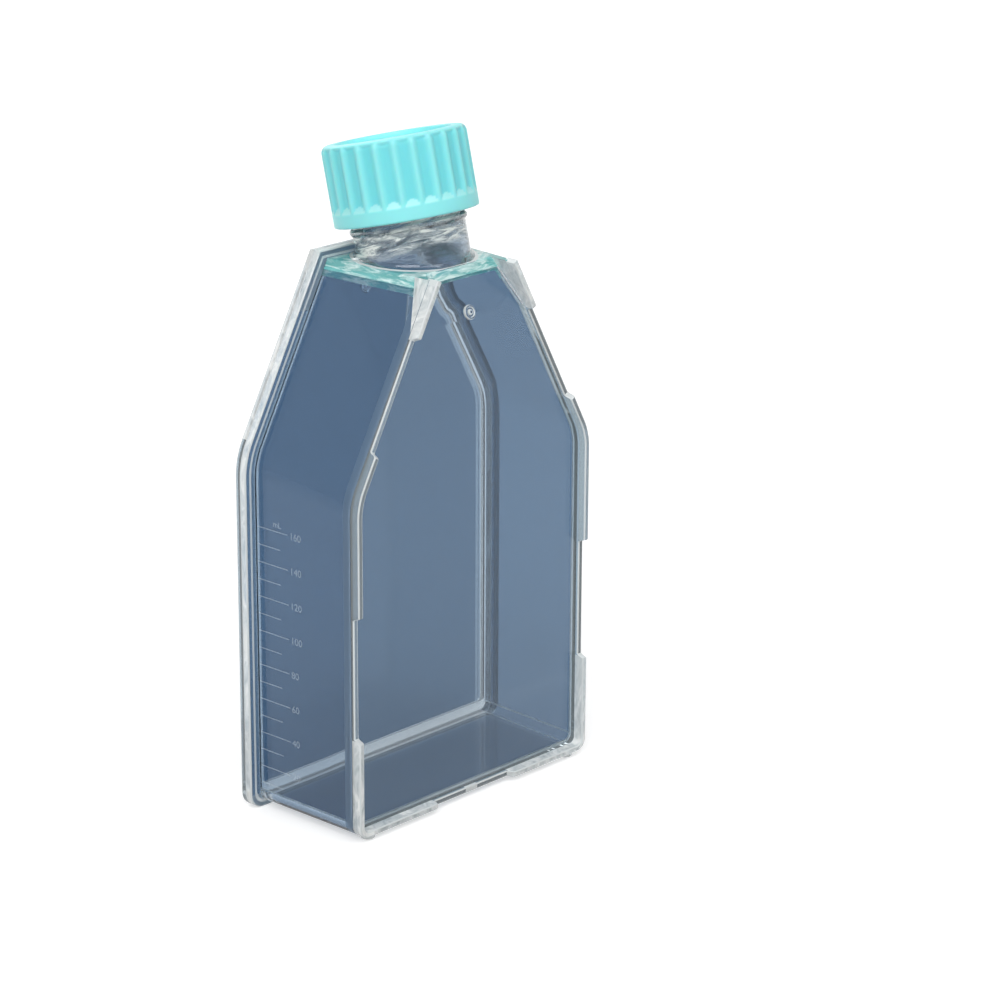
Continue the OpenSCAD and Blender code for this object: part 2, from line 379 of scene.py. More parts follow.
def end_tree(tree, geometry, given):
    real = add(tree, "GeometryNodeRealizeInstances", {"Geometry": geometry})
    finish = add(tree, "GeometryNodeSetMaterial",
                 {"Geometry": real.outputs[0], "Material": given["Material"]})
    add(tree, "NodeGroupOutput", {"Geometry": finish.outputs[0]})


def grow_tree(name, tree, material, bm=None, **values):
    """Runs a tree on a mesh and gives back a plain object of the result."""
    seed = in_scene(name + "_seed", mesh_of(name, bm or bmesh.new()))
    step = seed.modifiers.new("tree", "NODES")
    step.node_group = tree
    values["Material"] = material
    for item in tree.interface.items_tree:
        key = item.name.replace(" ", "_")
        if item.in_out == "INPUT" and key in values:
            step[item.identifier] = values[key]
    seed.update_tag()
    shape = plain_mesh(seed)
    bpy.data.objects.remove(seed)
    return in_scene(name, shape)


# The rim and the stacking ribs follow the front wall's bottom and sides. The tree sweeps one
# rounded bar along that line, and moves its front forward by the height stored on the line.
FOOT_RIB_X, FOOT_RIB_Z, BEND_RIB_DOWN, BEND_RIB_UP, RIB_STEP = 27, 24.5, 28, 10, 0.8
BAR_W, BAR_D, SEAM, SPACING = RIB_W - 0.06, 1.4, 0.03, 0.4


def rib_height(x, z):
    """The rim's height at a place on it: ribs at the feet, at the bend and above the fold."""
    stands = max(min(abs(x) - (WIDTH / 2 - FOOT_RIB_X), GAP + FOOT_RIB_Z - z),
                 min(z - (BEND_Z - BEND_RIB_DOWN), BEND_Z + BEND_RIB_UP - z), z - (FOLD_Z - 1))
    t = min(max(stands / RIB_STEP + 0.5, 0.0), 1.0)
    return LIP + (RIB - LIP) * t * t * (3 - 2 * t)


middle = BAR_W / 2 + SEAM
corners = outline(-DRAFT - middle, GAP + middle, CORNER_R - middle, BEND_Z, TOP_Z - SEAM)
half = len(corners) // 2
corners = [Vector(p) for p in corners[half:] + corners[:half]]
line = [corners[0]]
for a, b in zip(corners, corners[1:]):
    parts = max(1, round((b - a).length / SPACING))
    line += [a.lerp(b, i / parts) for i in range(1, parts + 1)]
bm = bmesh.new()
height = bm.verts.layers.float.new("rib_height")
spots = []
for p in line:
    spot = bm.verts.new((p.x, 0, p.y))
    spot[height] = rib_height(p.x, p.y)
    spots.append(spot)
for a, b in zip(spots, spots[1:]):
    bm.edges.new((a, b))

tree, given = new_tree("rim_sweep", Bar_Width=BAR_W, Bar_Depth=BAR_D, Edge_Radius=0.3)
path = add(tree, "GeometryNodeMeshToCurve", {"Mesh": given["Geometry"]})
facing = add(tree, "GeometryNodeSetCurveNormal",
             {"Curve": path.outputs[0], "Normal": (0, -1, 0)}, mode="FREE")
bar = add(tree, "GeometryNodeCurvePrimitiveQuadrilateral",
          {"Width": given["Bar Depth"], "Height": given["Bar Width"]})
soft = add(tree, "GeometryNodeFilletCurve", {"Curve": bar.outputs[0], "Count": 3,
                                             "Radius": given["Edge Radius"]}, mode="POLY")
swept = add(tree, "GeometryNodeCurveToMesh",
            {"Curve": facing.outputs[0], "Profile Curve": soft.outputs[0], "Fill Caps": True})
stored = add(tree, "GeometryNodeInputNamedAttribute", {"Name": "rib_height"}, data_type="FLOAT")
where = add(tree, "ShaderNodeSeparateXYZ", {0: add(tree, "GeometryNodeInputPosition").outputs[0]})
front = add(tree, "ShaderNodeMath", {0: where.outputs["Y"], 1: 0.0}, operation="LESS_THAN")
rise = add(tree, "ShaderNodeMath", {0: BAR_D / 2, 1: stored.outputs[0]}, operation="SUBTRACT")
masked = add(tree, "ShaderNodeMath", {0: rise.outputs[0], 1: front.outputs[0]},
             operation="MULTIPLY")
move = add(tree, "ShaderNodeCombineXYZ", {"Y": masked.outputs[0]})
placed = add(tree, "GeometryNodeSetPosition", {"Geometry": swept.outputs[0],
                                               "Offset": move.outputs[0]})
end_tree(tree, placed.outputs[0], given)
rim = grow_tree("rim", tree, finishes[LINE], bm)


def as_operand(piece, material=LINE):
    """Merges a tree's result, turns its faces outwards and gives it one of the finishes."""
    bm = bmesh.new()
    bm.from_mesh(piece.data)
    for face in bm.faces:
        face.material_index = material
    made = solid(piece.name + "_bar", bm)
    bpy.data.objects.remove(piece)
    return made


cut_or_join(body, as_operand(rim), "UNION")


def flange_rings(y0, y1, front_r, back_r):
    """Rings of the flange's slab, with its front and back edges rounded."""
    turns = [QUARTER * k / 4 for k in range(5)]
    spots = [(y0 + front_r * (1 - math.sin(a)), front_r * (1 - math.cos(a))) for a in turns[::-1]]
    spots += [(y1 - back_r * (1 - math.sin(a)), back_r * (1 - math.cos(a))) for a in turns]
    return [[(x, y, z) for x, z in outline(FLANGE_OUT - inset, inset, FLANGE_R - inset,
                                           BEND_Z + BEND_RISE, TOP_Z + FLANGE_RISE - inset)]
            for y, inset in spots]


# a fine groove round the flange's front face is painted as a thin band of the painted edge
# highlight on the flat face; outside it the face is plain, clear on the right and in the side
# wall's painted tint elsewhere
rings = flange_rings(FLANGE_Y, PLATE_Y - 0.01, 0.45, 0.15)
for grow in (1.7, 1.1):
    rings.insert(0, [(x, FLANGE_Y, z) for x, z in outline(grow, FLANGE_OUT - grow, FLANGE_R - 1,
                                                          BEND_Z + BEND_RISE,
                                                          TOP_Z + FLANGE_RISE - FLANGE_OUT + grow)])
flange = loft("flange", rings, LINE)
for face in flange.data.polygons[len(rings[0]):]:
    if face.normal.y < -SQUARE:
        face.material_index = CLEAR if face.center.x > SIDE_X else SIDE
cut_or_join(body, flange, "UNION")

# the neck flares out on the level top plate, then rises square to its own leaning axis
bm = bmesh.new()
segments, flare = 96, 1.5
least_y, most_y = RECESS + 0.02, PLATE_Y - 0.05         # the flare ends at the top plate's edges
flares = [(flare, -0.9)] + [(flare * (1 - math.sin(QUARTER * k / 6)),
                             flare * (1 - math.cos(QUARTER * k / 6))) for k in range(7)]
bead = [(NECK_R, 6.6), (NECK_R + 0.35, 6.95), (NECK_R + 0.6, 7.3), (NECK_R + 0.6, 7.9),
        (NECK_R + 0.35, 8.25), (NECK_R, 8.6), (NECK_R, NECK_LEN - 0.5),
        (NECK_R - 0.15, NECK_LEN - 0.15), (NECK_R - 0.5, NECK_LEN)]
rings = []
for extra, h in flares:
    ring = []
    for i in range(segments):
        a = 2 * math.pi * i / segments
        r = NECK_R + extra
        p = NECK_PLACE @ Vector((r * math.cos(a), r * math.sin(a),
                                 (h + r * math.sin(a) * math.sin(LEAN)) / math.cos(LEAN)))
        p.y = min(max(p.y, least_y), most_y)
        ring.append(bm.verts.new(p))
    rings.append(ring)
for r, h in bead:
    rings.append([bm.verts.new(NECK_PLACE @ p) for p in circle(r, h, segments)])
for a, b in zip(rings, rings[1:]):
    # the flare's foot and the rim's chamfer carry the painted edge highlight
    bright = a in (rings[1], rings[2], rings[-2])
    for i in range(segments):
        j = (i + 1) % segments
        bm.faces.new([a[i], a[j], b[j], b[i]]).material_index = LINE if bright else NECK
for ring in (rings[0], rings[-1]):
    bm.faces.new(ring).material_index = NECK
cut_or_join(body, solid("neck", bm), "UNION")

# The tree sweeps the thread's rounded crest along a spiral and lets it fade out at both ends. The
# cap's thread comes from the same tree, with the same pitch.
THREAD_Z = 13.3
tree, given = new_tree("thread", Turns=1.7, Pitch=4.0, Radius=NECK_R + 0.05, Crest=0.8)
rise = add(tree, "ShaderNodeMath", {0: given["Turns"], 1: given["Pitch"]}, operation="MULTIPLY")
spiral = add(tree, "GeometryNodeCurveSpiral",
             {"Resolution": 72, "Rotations": given["Turns"], "Start Radius": given["Radius"],
              "End Radius": given["Radius"], "Height": rise.outputs[0]})
along = add(tree, "GeometryNodeSplineParameter")
swell = add(tree, "ShaderNodeMath", {0: along.outputs["Factor"], 1: math.pi},
            operation="MULTIPLY")
swell = add(tree, "ShaderNodeMath", {0: swell.outputs[0]}, operation="SINE")
swell = add(tree, "ShaderNodeMath", {0: swell.outputs[0], 1: 4.0}, operation="MULTIPLY")
swell = add(tree, "ShaderNodeMath", {0: swell.outputs[0], 1: 1.0}, operation="MINIMUM")
swell = add(tree, "ShaderNodeMath", {0: swell.outputs[0], 1: 0.15}, operation="MAXIMUM")
crest = add(tree, "GeometryNodeCurvePrimitiveCircle", {"Resolution": 10, "Radius": given["Crest"]})
swept = add(tree, "GeometryNodeCurveToMesh",
            {"Curve": spiral.outputs[0], "Profile Curve": crest.outputs[0],
             "Scale": swell.outputs[0], "Fill Caps": True})
end_tree(tree, swept.outputs[0], given)
thread_tree = tree
thread = grow_tree("neck_thread", thread_tree, finishes[NECK])
thread.data.transform(NECK_PLACE @ Matrix.Translation((0, 0, THREAD_Z)))
cut_or_join(body, as_operand(thread, NECK), "UNION")

# two small feet below the front wall, and the gate mark that the sprue left above the fold
FOOT_IN, GATE_Z = 5.7, FOLD_Z + 1.2
for s in (-1, 1):
    foot = turned("foot", [(0, 0), (1.3, 0), (1.6, 0.15), (1.7, 0.45), (1.7, 2.5), (0, 2.5)],
                  Matrix.Translation((s * (WIDTH / 2 - FOOT_IN), RIB_W / 2 - LIP, 0)), 32)
    cut_or_join(body, foot, "UNION")
gate = [(0, -0.8), (1.75, -0.8), (1.75, 0.45), (1.6, 0.62), (1.3, 0.66), (1.1, 0.45), (0.75, 0.42),
        (0.6, 0.75), (0.35, 0.85), (0, 0.8)]
mark = turned("gate_mark", gate,
              Matrix.Translation((0, (GATE_Z - FOLD_Z) * math.tan(slope), GATE_Z))
              @ Matrix.Rotation(QUARTER - slope, 4, "X"), 32, FRONT)
axis = Vector((0, -math.cos(slope), math.sin(slope)))
# the mark's sides carry the painted edge highlight
for face in mark.data.polygons:
    if abs(face.normal.dot(axis)) < SQUARE:
        face.material_index = LINE
cut_or_join(body, mark, "UNION")

# the cavity, with rounded corners behind the front wall, and the neck's bore
INSIDE_Z, CEILING_Z = GAP + WALL, TOP_Z - TOP_WALL
inner_r, cavity_r, front_r = 1.4, 2.2, 1.3
rings = []
for k in (5, 4, 3, 2, 1, 0):
    a = QUARTER * k / 5
    inset = inner_r * (1 - math.cos(a))
    rings.append(ring_at(WALL + inner_r * (1 - math.sin(a)), -WALL - inset, INSIDE_Z + inset,
                         front_r + (cavity_r - front_r) * math.cos(a), CEILING_Z - inset,
                         leaning=True))
rings += [ring_at(y, -WALL, INSIDE_Z, cavity_r, CEILING_Z)
          for y in (9, 15, 20, 25, WELD_Y + 0.2, PLATE_Y + 1)]
cut_or_join(body, loft("cavity", rings, lined=(0, 7), soft=(1, 2, 3, 4)), "DIFFERENCE")
bore_r = NECK_R - NECK_WALL
cut_or_join(body, turned("bore", [(0, -6), (bore_r, -6), (bore_r, NECK_LEN - 0.5),
                                  (bore_r + 0.15, NECK_LEN - 0.15), (bore_r + 0.5, NECK_LEN),
                                  (bore_r + 0.5, NECK_LEN + 1), (0, NECK_LEN + 1)],
                         NECK_PLACE, material=NECK), "DIFFERENCE")


def finish_piece(piece, body_name, angle=34, nodes=()):
    """Brings a piece to metres and its place, smooths its curved faces and ties it to its body."""
    piece.data.transform(Matrix.Scale(0.001, 4) @ Matrix.Translation((0, Y_SHIFT, 0)))
    piece.data.polygons.foreach_set("use_smooth", [True] * len(piece.data.polygons))
    piece.data.set_sharp_from_angle(angle=math.radians(angle))
    even = piece.modifiers.new("even_normals", "WEIGHTED_NORMAL")
    even.keep_sharp, even.weight = True, 80
    piece.data = plain_mesh(piece)
    piece.modifiers.clear()
    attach(piece, body_name)
    if nodes:
        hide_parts(*nodes)


# Each wall gets its own painted tint, which stands in for a dark backdrop seen through it. The
# right wall and the floor are darker as painted shade, with a clear strip where the floor meets the
# weld. Of the edges, the rounded ones keep the painted edge highlight, and tall ribs and the
# flange's rim take the painted white highlight. The other sides take a duller finish that is
# painted shade.
TALL, BEND_REACH = 1.5, 30
for face in body.data.polygons:
    at, lean = face.center, abs(face.normal.y)
    on_floor = at.z < INSIDE_Z + 0.1
    rounded = UPRIGHT < lean < SQUARE or abs(at.x) < 2
    if face.material_index == FRONT and lean < 0.6:
        face.material_index = FLOOR if at.x > SIDE_X or on_floor else SIDE
        if at.y > WELD_Y + 0.1 and on_floor:
            face.material_index = CLEAR
    elif face.material_index == LINE and at.z < TOP_Z - 1 and not rounded:
        if at.y < FLANGE_Y - 0.1:
            tall = rib_height(at.x, at.z) > TALL and abs(at.z - BEND_Z) > BEND_REACH
            face.material_index = WHITE if tall else RIB_SIDE
        elif lean < UPRIGHT:
            face.material_index = WHITE
        elif at.y > FLANGE_Y + 0.3:
            face.material_index = CLEAR
finish_piece(body, "flask", nodes=["flask_body"])

# --- Rear plate -------------------------------------------------------------------------------
# The large flat growth plate, moulded from the same polystyrene and welded on the flange all
# round. A tongue inside the walls holds it in place, and its gate mark lies near the upper end.
def plate_ring(y, inset, low):
    """A ring on the plate's face, inset from the walls and ending at a height above the floor."""
    return [(x, y, z) for x, z in outline(-inset, INSIDE_Z + low, 2.0, BEND_Z + BEND_RISE,
                                          CEILING_Z - inset + 1.0)]


# Thin clear lines run round the plate on both faces: bands 0 and 2 in front, 14 and 16 behind. The
# weld, bands 3 and 13, is clear on the right, and so is the strip between the lines at the foot.
# The plate's broad faces keep its dark painted tint.
FACE_Y, FOOT_Z = PLATE_Y + 0.03, 8
rings = flange_rings(FACE_Y, REAR_Y, 0.12, 0.5)
for inset, low in ((1.1, -1.9), (1.8, 0.2), (2.7, 1.2), (3.6, 1.7)):
    rings.insert(0, plate_ring(FACE_Y, inset, low))
    rings.append(plate_ring(REAR_Y, inset + 0.3, low - 0.3))
plate = loft("rear_growth_plate", rings, REAR)
around = len(rings[0])
for face in plate.data.polygons:
    lean, band = abs(face.normal.y), face.index // around
    right_weld = band in (3, 13) and face.center.x > SIDE_X
    foot = band in (1, 15) and face.center.z < FOOT_Z
    if band in (0, 2, 14, 16) or right_weld or foot:
        face.material_index = CLEAR
    # upright edge faces take the painted white highlight high up and a duller painted shade low
    # down, and rounded ones the painted edge highlight
    elif lean < UPRIGHT:
        face.material_index = WHITE if face.center.z > BEND_Z + 8 else RIB_SIDE
    elif lean < 0.999:
        face.material_index = LINE
tongue_in, tongue_w, edge, tip_y = WALL + 0.25, 1.2, 0.3, PLATE_Y - 1.0
top = CEILING_Z - 0.2
outer = [ring_at(y, -tongue_in - inset, GAP + tongue_in + inset, 1.6, top - inset)
         for y, inset in ((tip_y, edge), (tip_y + edge, 0), (PLATE_Y + 0.4, 0))]
inner = [ring_at(y, -tongue_in - inset, GAP + tongue_in + 2 * inset, 1.0, top - inset)
         for y, inset in ((tip_y - 0.5, tongue_w - edge), (tip_y, tongue_w - edge),
                          (tip_y + edge, tongue_w), (FACE_Y, tongue_w))]
ridge = loft("tongue", outer, LINE)
cut_or_join(ridge, loft("tongue_room", inner, LINE), "DIFFERENCE")
# the tongue's front faces above the foot take the front wall's painted tint, and the rest is left
# clear
for face in ridge.data.polygons:
    front_face = abs(face.normal.y) > SQUARE and face.center.z > FOOT_Z
    face.material_index = FRONT if front_face else CLEAR
cut_or_join(plate, ridge, "UNION")
mark = turned("rear_gate_mark", gate, Matrix.Translation((0, REAR_Y, GATE_Z))
              @ Matrix.Rotation(-QUARTER, 4, "X"), 32, CLEAR)
cut_or_join(plate, mark, "UNION")
finish_piece(plate, "flask", nodes=["rear_plate"])

# --- Volume scale -----------------------------------------------------------------------------
# Fine frosted lines and numerals on the narrow left wall, printed in a pale ink. One line stands
# every 10 mL, with a number at every second one.
STEP_20, LAST, INK_ABOVE = 8.59, 160, 0.02

# a thin matt ink that the wall shows through, with a grain of 0.25 mm
ink, tree = new_material("pale_frosted_ink")
grain = add(tree, "ShaderNodeTexNoise",
            {"Vector": add(tree, "ShaderNodeTexCoord").outputs["Object"]}, Scale=4000.0)
shade = add(tree, "ShaderNodeMix",
            {0: grain.outputs[0], 6: linear("#B9C8D6"), 7: linear("#DCE6EE")}, data_type="RGBA")
shader = add(tree, "ShaderNodeBsdfPrincipled", {"Base Color": shade.outputs[2]},
             Roughness=0.6, Alpha=0.42)
add(tree, "ShaderNodeOutputMaterial", {"Surface": shader.outputs[0]})

tree, given = new_tree("scale_lines", Lines=LAST // 10, Spacing=STEP_20 / 2, Long=10.0, Short=7.5,
                       Stroke=0.22)
row = add(tree, "GeometryNodeMeshLine", {
    "Count": given["Lines"],
    "Offset": add(tree, "ShaderNodeCombineXYZ", {"Y": given["Spacing"]}).outputs[0]})
tick = add(tree, "GeometryNodeMeshGrid", {"Size X": 1.0, "Size Y": given["Stroke"],
                                          "Vertices X": 2, "Vertices Y": 2})
shifted = add(tree, "GeometryNodeTransform", {"Geometry": tick.outputs[0],
                                              "Translation": (0.5, 0, 0)})
parity = add(tree, "ShaderNodeMath", {0: add(tree, "GeometryNodeInputIndex").outputs[0], 1: 2.0},
             operation="MODULO")
length = add(tree, "ShaderNodeMapRange", {0: parity.outputs[0], 3: given["Short"],
                                          4: given["Long"]})
size = add(tree, "ShaderNodeCombineXYZ", {"X": length.outputs[0], "Y": 1.0, "Z": 1.0})
ticks = add(tree, "GeometryNodeInstanceOnPoints", {
    "Points": row.outputs[0], "Instance": shifted.outputs[0], "Scale": size.outputs[0]})
end_tree(tree, ticks.outputs[0], given)


def onto_left_wall(piece, u, z):
    """Lays a flat piece on the left wall: its x runs from the flange to the front, its y up."""
    for v in piece.data.vertices:
        y, height = FLANGE_Y - 0.5 - u - v.co.x, z + v.co.y
        x = WIDTH / 2 - DRAFT * (1 - y / PLATE_Y) + INK_ABOVE
        v.co = (-x, y, height)
    return piece


# each label has its words, its distance from the flange, its height above the floor and its size
marks = [onto_left_wall(grow_tree("scale_lines", tree, ink), 0, INSIDE_Z + STEP_20 / 2)]
labels = [(str(value), 10.6, value / 20 * STEP_20 - 0.9, 2.5) for value in range(20, LAST + 1, 20)]
labels.append(("mL", 5.2, LAST / 20 * STEP_20 + 1.0, 2.2))
for words, u, up, tall in labels:
    curve = bpy.data.curves.new("numeral", "FONT")
    curve.body, curve.size, curve.resolution_u = words, tall, 4
    text = in_scene("numeral", curve)
    bpy.context.view_layer.update()
    shape = plain_mesh(text)
    bpy.data.objects.remove(text)
    marks.append(onto_left_wall(bpy.data.objects.new("numeral", shape), u, INSIDE_Z + up))
bm = bmesh.new()
for mark in marks:
    mark.data.materials.clear()
    bm.from_mesh(mark.data)
    bpy.data.objects.remove(mark)
bmesh.ops.transform(bm, verts=bm.verts, matrix=Matrix.Scale(0.001, 4)
                    @ Matrix.Translation((0, Y_SHIFT, 0)))
for face in bm.faces:
    face.normal_update()
    if face.normal.x > 0:
        face.normal_flip()
scale = in_scene("volume_scale", mesh_of("volume_scale", bm, ink))
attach(scale, "flask")

# --- Sealing disc -----------------------------------------------------------------------------
# A white foamed-polyethylene disc in the cap, pressed on the neck's rim, with a soft edge and a
# shallow groove where the rim bites. Closed cells of 0.4 mm give it a dull, finely pitted face.
foam, tree = new_material("foamed_polyethylene")
cells = add(tree, "ShaderNodeTexVoronoi",
            {"Vector": add(tree, "ShaderNodeTexCoord").outputs["Object"]}, Scale=2500.0)
bump = add(tree, "ShaderNodeBump", {"Height": cells.outputs[0]}, Strength=0.4, Distance=0.0001)
shade = add(tree, "ShaderNodeMix",
            {0: cells.outputs[0], 6: linear("#E4E4DF"), 7: linear("#F2F2EE")}, data_type="RGBA")
shader = add(tree, "ShaderNodeBsdfPrincipled",
             {"Base Color": shade.outputs[2], "Normal": bump.outputs[0]}, Roughness=0.7)
add(tree, "ShaderNodeOutputMaterial", {"Surface": shader.outputs[0]})
disc_z, disc_r, disc_t = NECK_LEN + 0.1, 14.4, 1.2
disc = turned("sealing_disc", [
    (0, disc_z), (11.4, disc_z), (11.7, disc_z + 0.06), (13.1, disc_z + 0.06), (13.4, disc_z),
    (disc_r - 0.2, disc_z), (disc_r, disc_z + 0.2), (disc_r, disc_z + disc_t - 0.2),
    (disc_r - 0.2, disc_z + disc_t), (0, disc_z + disc_t)], NECK_PLACE, material=0)
disc.data.materials.clear()
disc.data.materials.append(foam)
finish_piece(disc, "liner", nodes=["seal_liner"])

# --- Screw cap --------------------------------------------------------------------------------
# Turquoise polypropylene, moulded in one piece: wide shallow flutes between thin grip ribs, a
# plain band below, a bevelled shoulder and a sunk centre. The thread inside fits the neck's.
CAP_R, CAP_H, BORE_R, FLUTE, BAND, BEVEL = 17.1, 19.3, 14.75, 0.7, 3.2, 1.6
SUNK, ROOF, CAP_UP, CAP_THREAD_Z = 1.2, 1.6, 9.2, 2.1
CAP_PLACE = NECK_PLACE @ Matrix.Translation((0, 0, CAP_UP))

# Polypropylene is a little waxy. Its shade drifts over some 6 mm. Painted shade makes it deeper in
# the flutes, and a painted highlight makes it paler where they run out. The mould's fine texture is
# drawn at about 0.5 mm, so that it shows.
cap_pp, tree = new_material("turquoise_polypropylene")
place = add(tree, "ShaderNodeTexCoord").outputs["Object"]
cloud = add(tree, "ShaderNodeTexNoise", {"Vector": place}, Scale=160.0, Detail=3.0)
painted_flute_shade = add(tree, "ShaderNodeAttribute", attribute_name="flute")
deep = add(tree, "ShaderNodeMapRange", {0: cloud.outputs[0], 3: -0.12, 4: 0.12})
deep = add(tree, "ShaderNodeMath", {0: deep.outputs[0], 1: painted_flute_shade.outputs["Fac"]})
shade = add(tree, "ShaderNodeMix",
            {0: deep.outputs[0], 6: linear("#92EEF0"), 7: linear("#74DEE5")}, data_type="RGBA")
painted_run_out_highlight = add(tree, "ShaderNodeAttribute", attribute_name="flute_end")
pale = add(tree, "ShaderNodeMath", {0: painted_run_out_highlight.outputs["Fac"], 1: 0.4}, operation="MULTIPLY")
shade = add(tree, "ShaderNodeMix",
            {0: pale.outputs[0], 6: shade.outputs[2], 7: linear("#C9FAF6")}, data_type="RGBA")
fine = add(tree, "ShaderNodeTexNoise", {"Vector": place}, Scale=1800.0, Detail=3.0)
bump = add(tree, "ShaderNodeBump", {"Height": fine.outputs[0]}, Strength=0.25, Distance=0.00006)
shine = add(tree, "ShaderNodeMapRange", {0: cloud.outputs[0], 3: 0.3, 4: 0.46})
shader = add(tree, "ShaderNodeBsdfPrincipled",
             {"Base Color": shade.outputs[2], "Normal": bump.outputs[0],
              "Roughness": shine.outputs[0]},
             IOR=1.49, Subsurface_Weight=0.2, Subsurface_Scale=0.0012)
add(tree, "ShaderNodeOutputMaterial", {"Surface": shader.outputs[0]})

inside, sunk = CAP_H - SUNK - ROOF, CAP_H - SUNK
wall = [(BORE_R + 0.3, 0), (CAP_R - 0.5, 0), (CAP_R - 0.12, 0.15), (CAP_R, 0.5)]
wall += [(CAP_R, BAND * (0.5 + 0.1 * k)) for k in range(12)]
wall += [(CAP_R, BAND * 1.7 + (CAP_H - BEVEL - BAND * 1.7) * k / 24) for k in range(25)]
wall += arc(CAP_R - BEVEL - 0.05, CAP_H - BEVEL - 0.05, BEVEL, 0.15, QUARTER)
wall += [(CAP_R - 3.0, CAP_H), (CAP_R - 3.3, CAP_H - 0.1), (CAP_R - 3.45, CAP_H - 0.4),
         (CAP_R - 3.5, sunk + 0.1), (CAP_R - 3.9, sunk), (0.6, sunk), (0.5, sunk + 0.15),
         (0, sunk + 0.15)]
under = [(0, inside), (BORE_R - 0.5, inside), (BORE_R, inside - 0.5), (BORE_R, 0.3),
         (BORE_R + 0.3, 0)]
blank = turned("cap_blank", wall + under, Matrix.Identity(4), 288, 0)
bm = bmesh.new()
bm.from_mesh(blank.data)
bpy.data.objects.remove(blank)

tree, given = new_tree("grip_flutes", Ribs=24, Depth=FLUTE, Band=BAND, Top=CAP_H - 0.5,
                       Bore=BORE_R + 0.85)
spot = add(tree, "GeometryNodeInputPosition").outputs[0]
xyz = add(tree, "ShaderNodeSeparateXYZ", {0: spot})
turn = add(tree, "ShaderNodeMath", {0: xyz.outputs["Y"], 1: xyz.outputs["X"]},
           operation="ARCTAN2")
phase = add(tree, "ShaderNodeMath", {0: turn.outputs[0], 1: given["Ribs"]}, operation="MULTIPLY")
phase = add(tree, "ShaderNodeMath", {0: phase.outputs[0], 1: 0.5}, operation="MULTIPLY")
wave = add(tree, "ShaderNodeMath", {0: phase.outputs[0]}, operation="SINE")
wave = add(tree, "ShaderNodeMath", {0: wave.outputs[0]}, operation="ABSOLUTE")
hollow = add(tree, "ShaderNodeMapRange", {0: wave.outputs[0], 1: 0.08, 2: 0.98},
             interpolation_type="SMOOTHSTEP")
radial = add(tree, "ShaderNodeCombineXYZ", {"X": xyz.outputs["X"], "Y": xyz.outputs["Y"]})
far = add(tree, "ShaderNodeVectorMath", {0: radial.outputs[0]}, operation="LENGTH")
away = add(tree, "ShaderNodeVectorMath", {0: radial.outputs[0]}, operation="NORMALIZE")
outside = add(tree, "ShaderNodeMath", {0: far.outputs["Value"], 1: given["Bore"]},
              operation="GREATER_THAN")
# each flute runs out on a slope above the band and below the bevel, so its ends are arched
full = add(tree, "ShaderNodeMath", {0: hollow.outputs[0], 1: given["Depth"]},
           operation="MULTIPLY").outputs[0]
amount, slopes = full, []
for edge, way in ((given["Band"], 0.42), (given["Top"], -0.9)):
    over = add(tree, "ShaderNodeMath", {0: xyz.outputs["Z"], 1: edge}, operation="SUBTRACT")
    rise = add(tree, "ShaderNodeMath", {0: over.outputs[0], 1: way}, operation="MULTIPLY")
    rise = add(tree, "ShaderNodeMath", {0: rise.outputs[0], 1: 0.0}, operation="MAXIMUM")
    slopes.append(rise.outputs[0])
    amount = add(tree, "ShaderNodeMath", {0: amount, 1: slopes[-1]},
                 operation="MINIMUM").outputs[0]
amount = add(tree, "ShaderNodeMath", {0: amount, 1: outside.outputs[0]}, operation="MULTIPLY")
# the share of full depth sets a flute's painted shade, and its lower run-out is marked for a
# painted highlight
depth_share = add(tree, "ShaderNodeMath", {0: amount.outputs[0], 1: given["Depth"]},
                  operation="DIVIDE")
cut = add(tree, "ShaderNodeMath", {0: full, 1: slopes[0]}, operation="GREATER_THAN")
begun = add(tree, "ShaderNodeMath", {0: slopes[0], 1: 0.02}, operation="GREATER_THAN")
run_out = add(tree, "ShaderNodeMath", {0: cut.outputs[0], 1: begun.outputs[0]},
              operation="MULTIPLY")
shape = given["Geometry"]
for name, value in (("flute", depth_share), ("flute_end", run_out)):
    shape = add(tree, "GeometryNodeStoreNamedAttribute",
                {"Geometry": shape, "Name": name, "Value": value.outputs[0]},
                data_type="FLOAT", domain="POINT").outputs[0]
inwards = add(tree, "ShaderNodeMath", {0: amount.outputs[0], 1: -1.0}, operation="MULTIPLY")
step = add(tree, "ShaderNodeVectorMath", {0: away.outputs[0], "Scale": inwards.outputs[0]},
           operation="SCALE")
carved = add(tree, "GeometryNodeSetPosition", {"Geometry": shape, "Offset": step.outputs[0]})
end_tree(tree, carved.outputs[0], given)
cap = grow_tree("screw_cap_turquoise", tree, cap_pp, bm)
inner_thread = grow_tree("cap_thread", thread_tree, cap_pp, Turns=1.3, Radius=BORE_R + 0.1,
                         Crest=0.85)
inner_thread.data.transform(Matrix.Translation((0, 0, CAP_THREAD_Z)))
bm = bmesh.new()
bm.from_mesh(inner_thread.data)
outwards(bm)
bm.to_mesh(inner_thread.data)
bm.free()
cut_or_join(cap, inner_thread, "UNION")
cap.data.transform(CAP_PLACE)
finish_piece(cap, "cap", 50, ["screw_cap"])

# --- Floor, light and camera ------------------------------------------------------------------
# A pale floor that keeps a soft shadow, three large soft lamps, and a long lens from the left
# front, a little above the flask's shoulders.
def backdrop_rays(tree):
    """1 for the rays that see the backdrop's own white, and 0 for those that only light."""
    seen = add(tree, "ShaderNodeLightPath").outputs
    ray = seen["Is Camera Ray"]
    for other in ("Is Glossy Ray", "Is Transmission Ray"):
        ray = add(tree, "ShaderNodeMath", {0: ray, 1: seen[other]}, operation="MAXIMUM").outputs[0]
    return ray


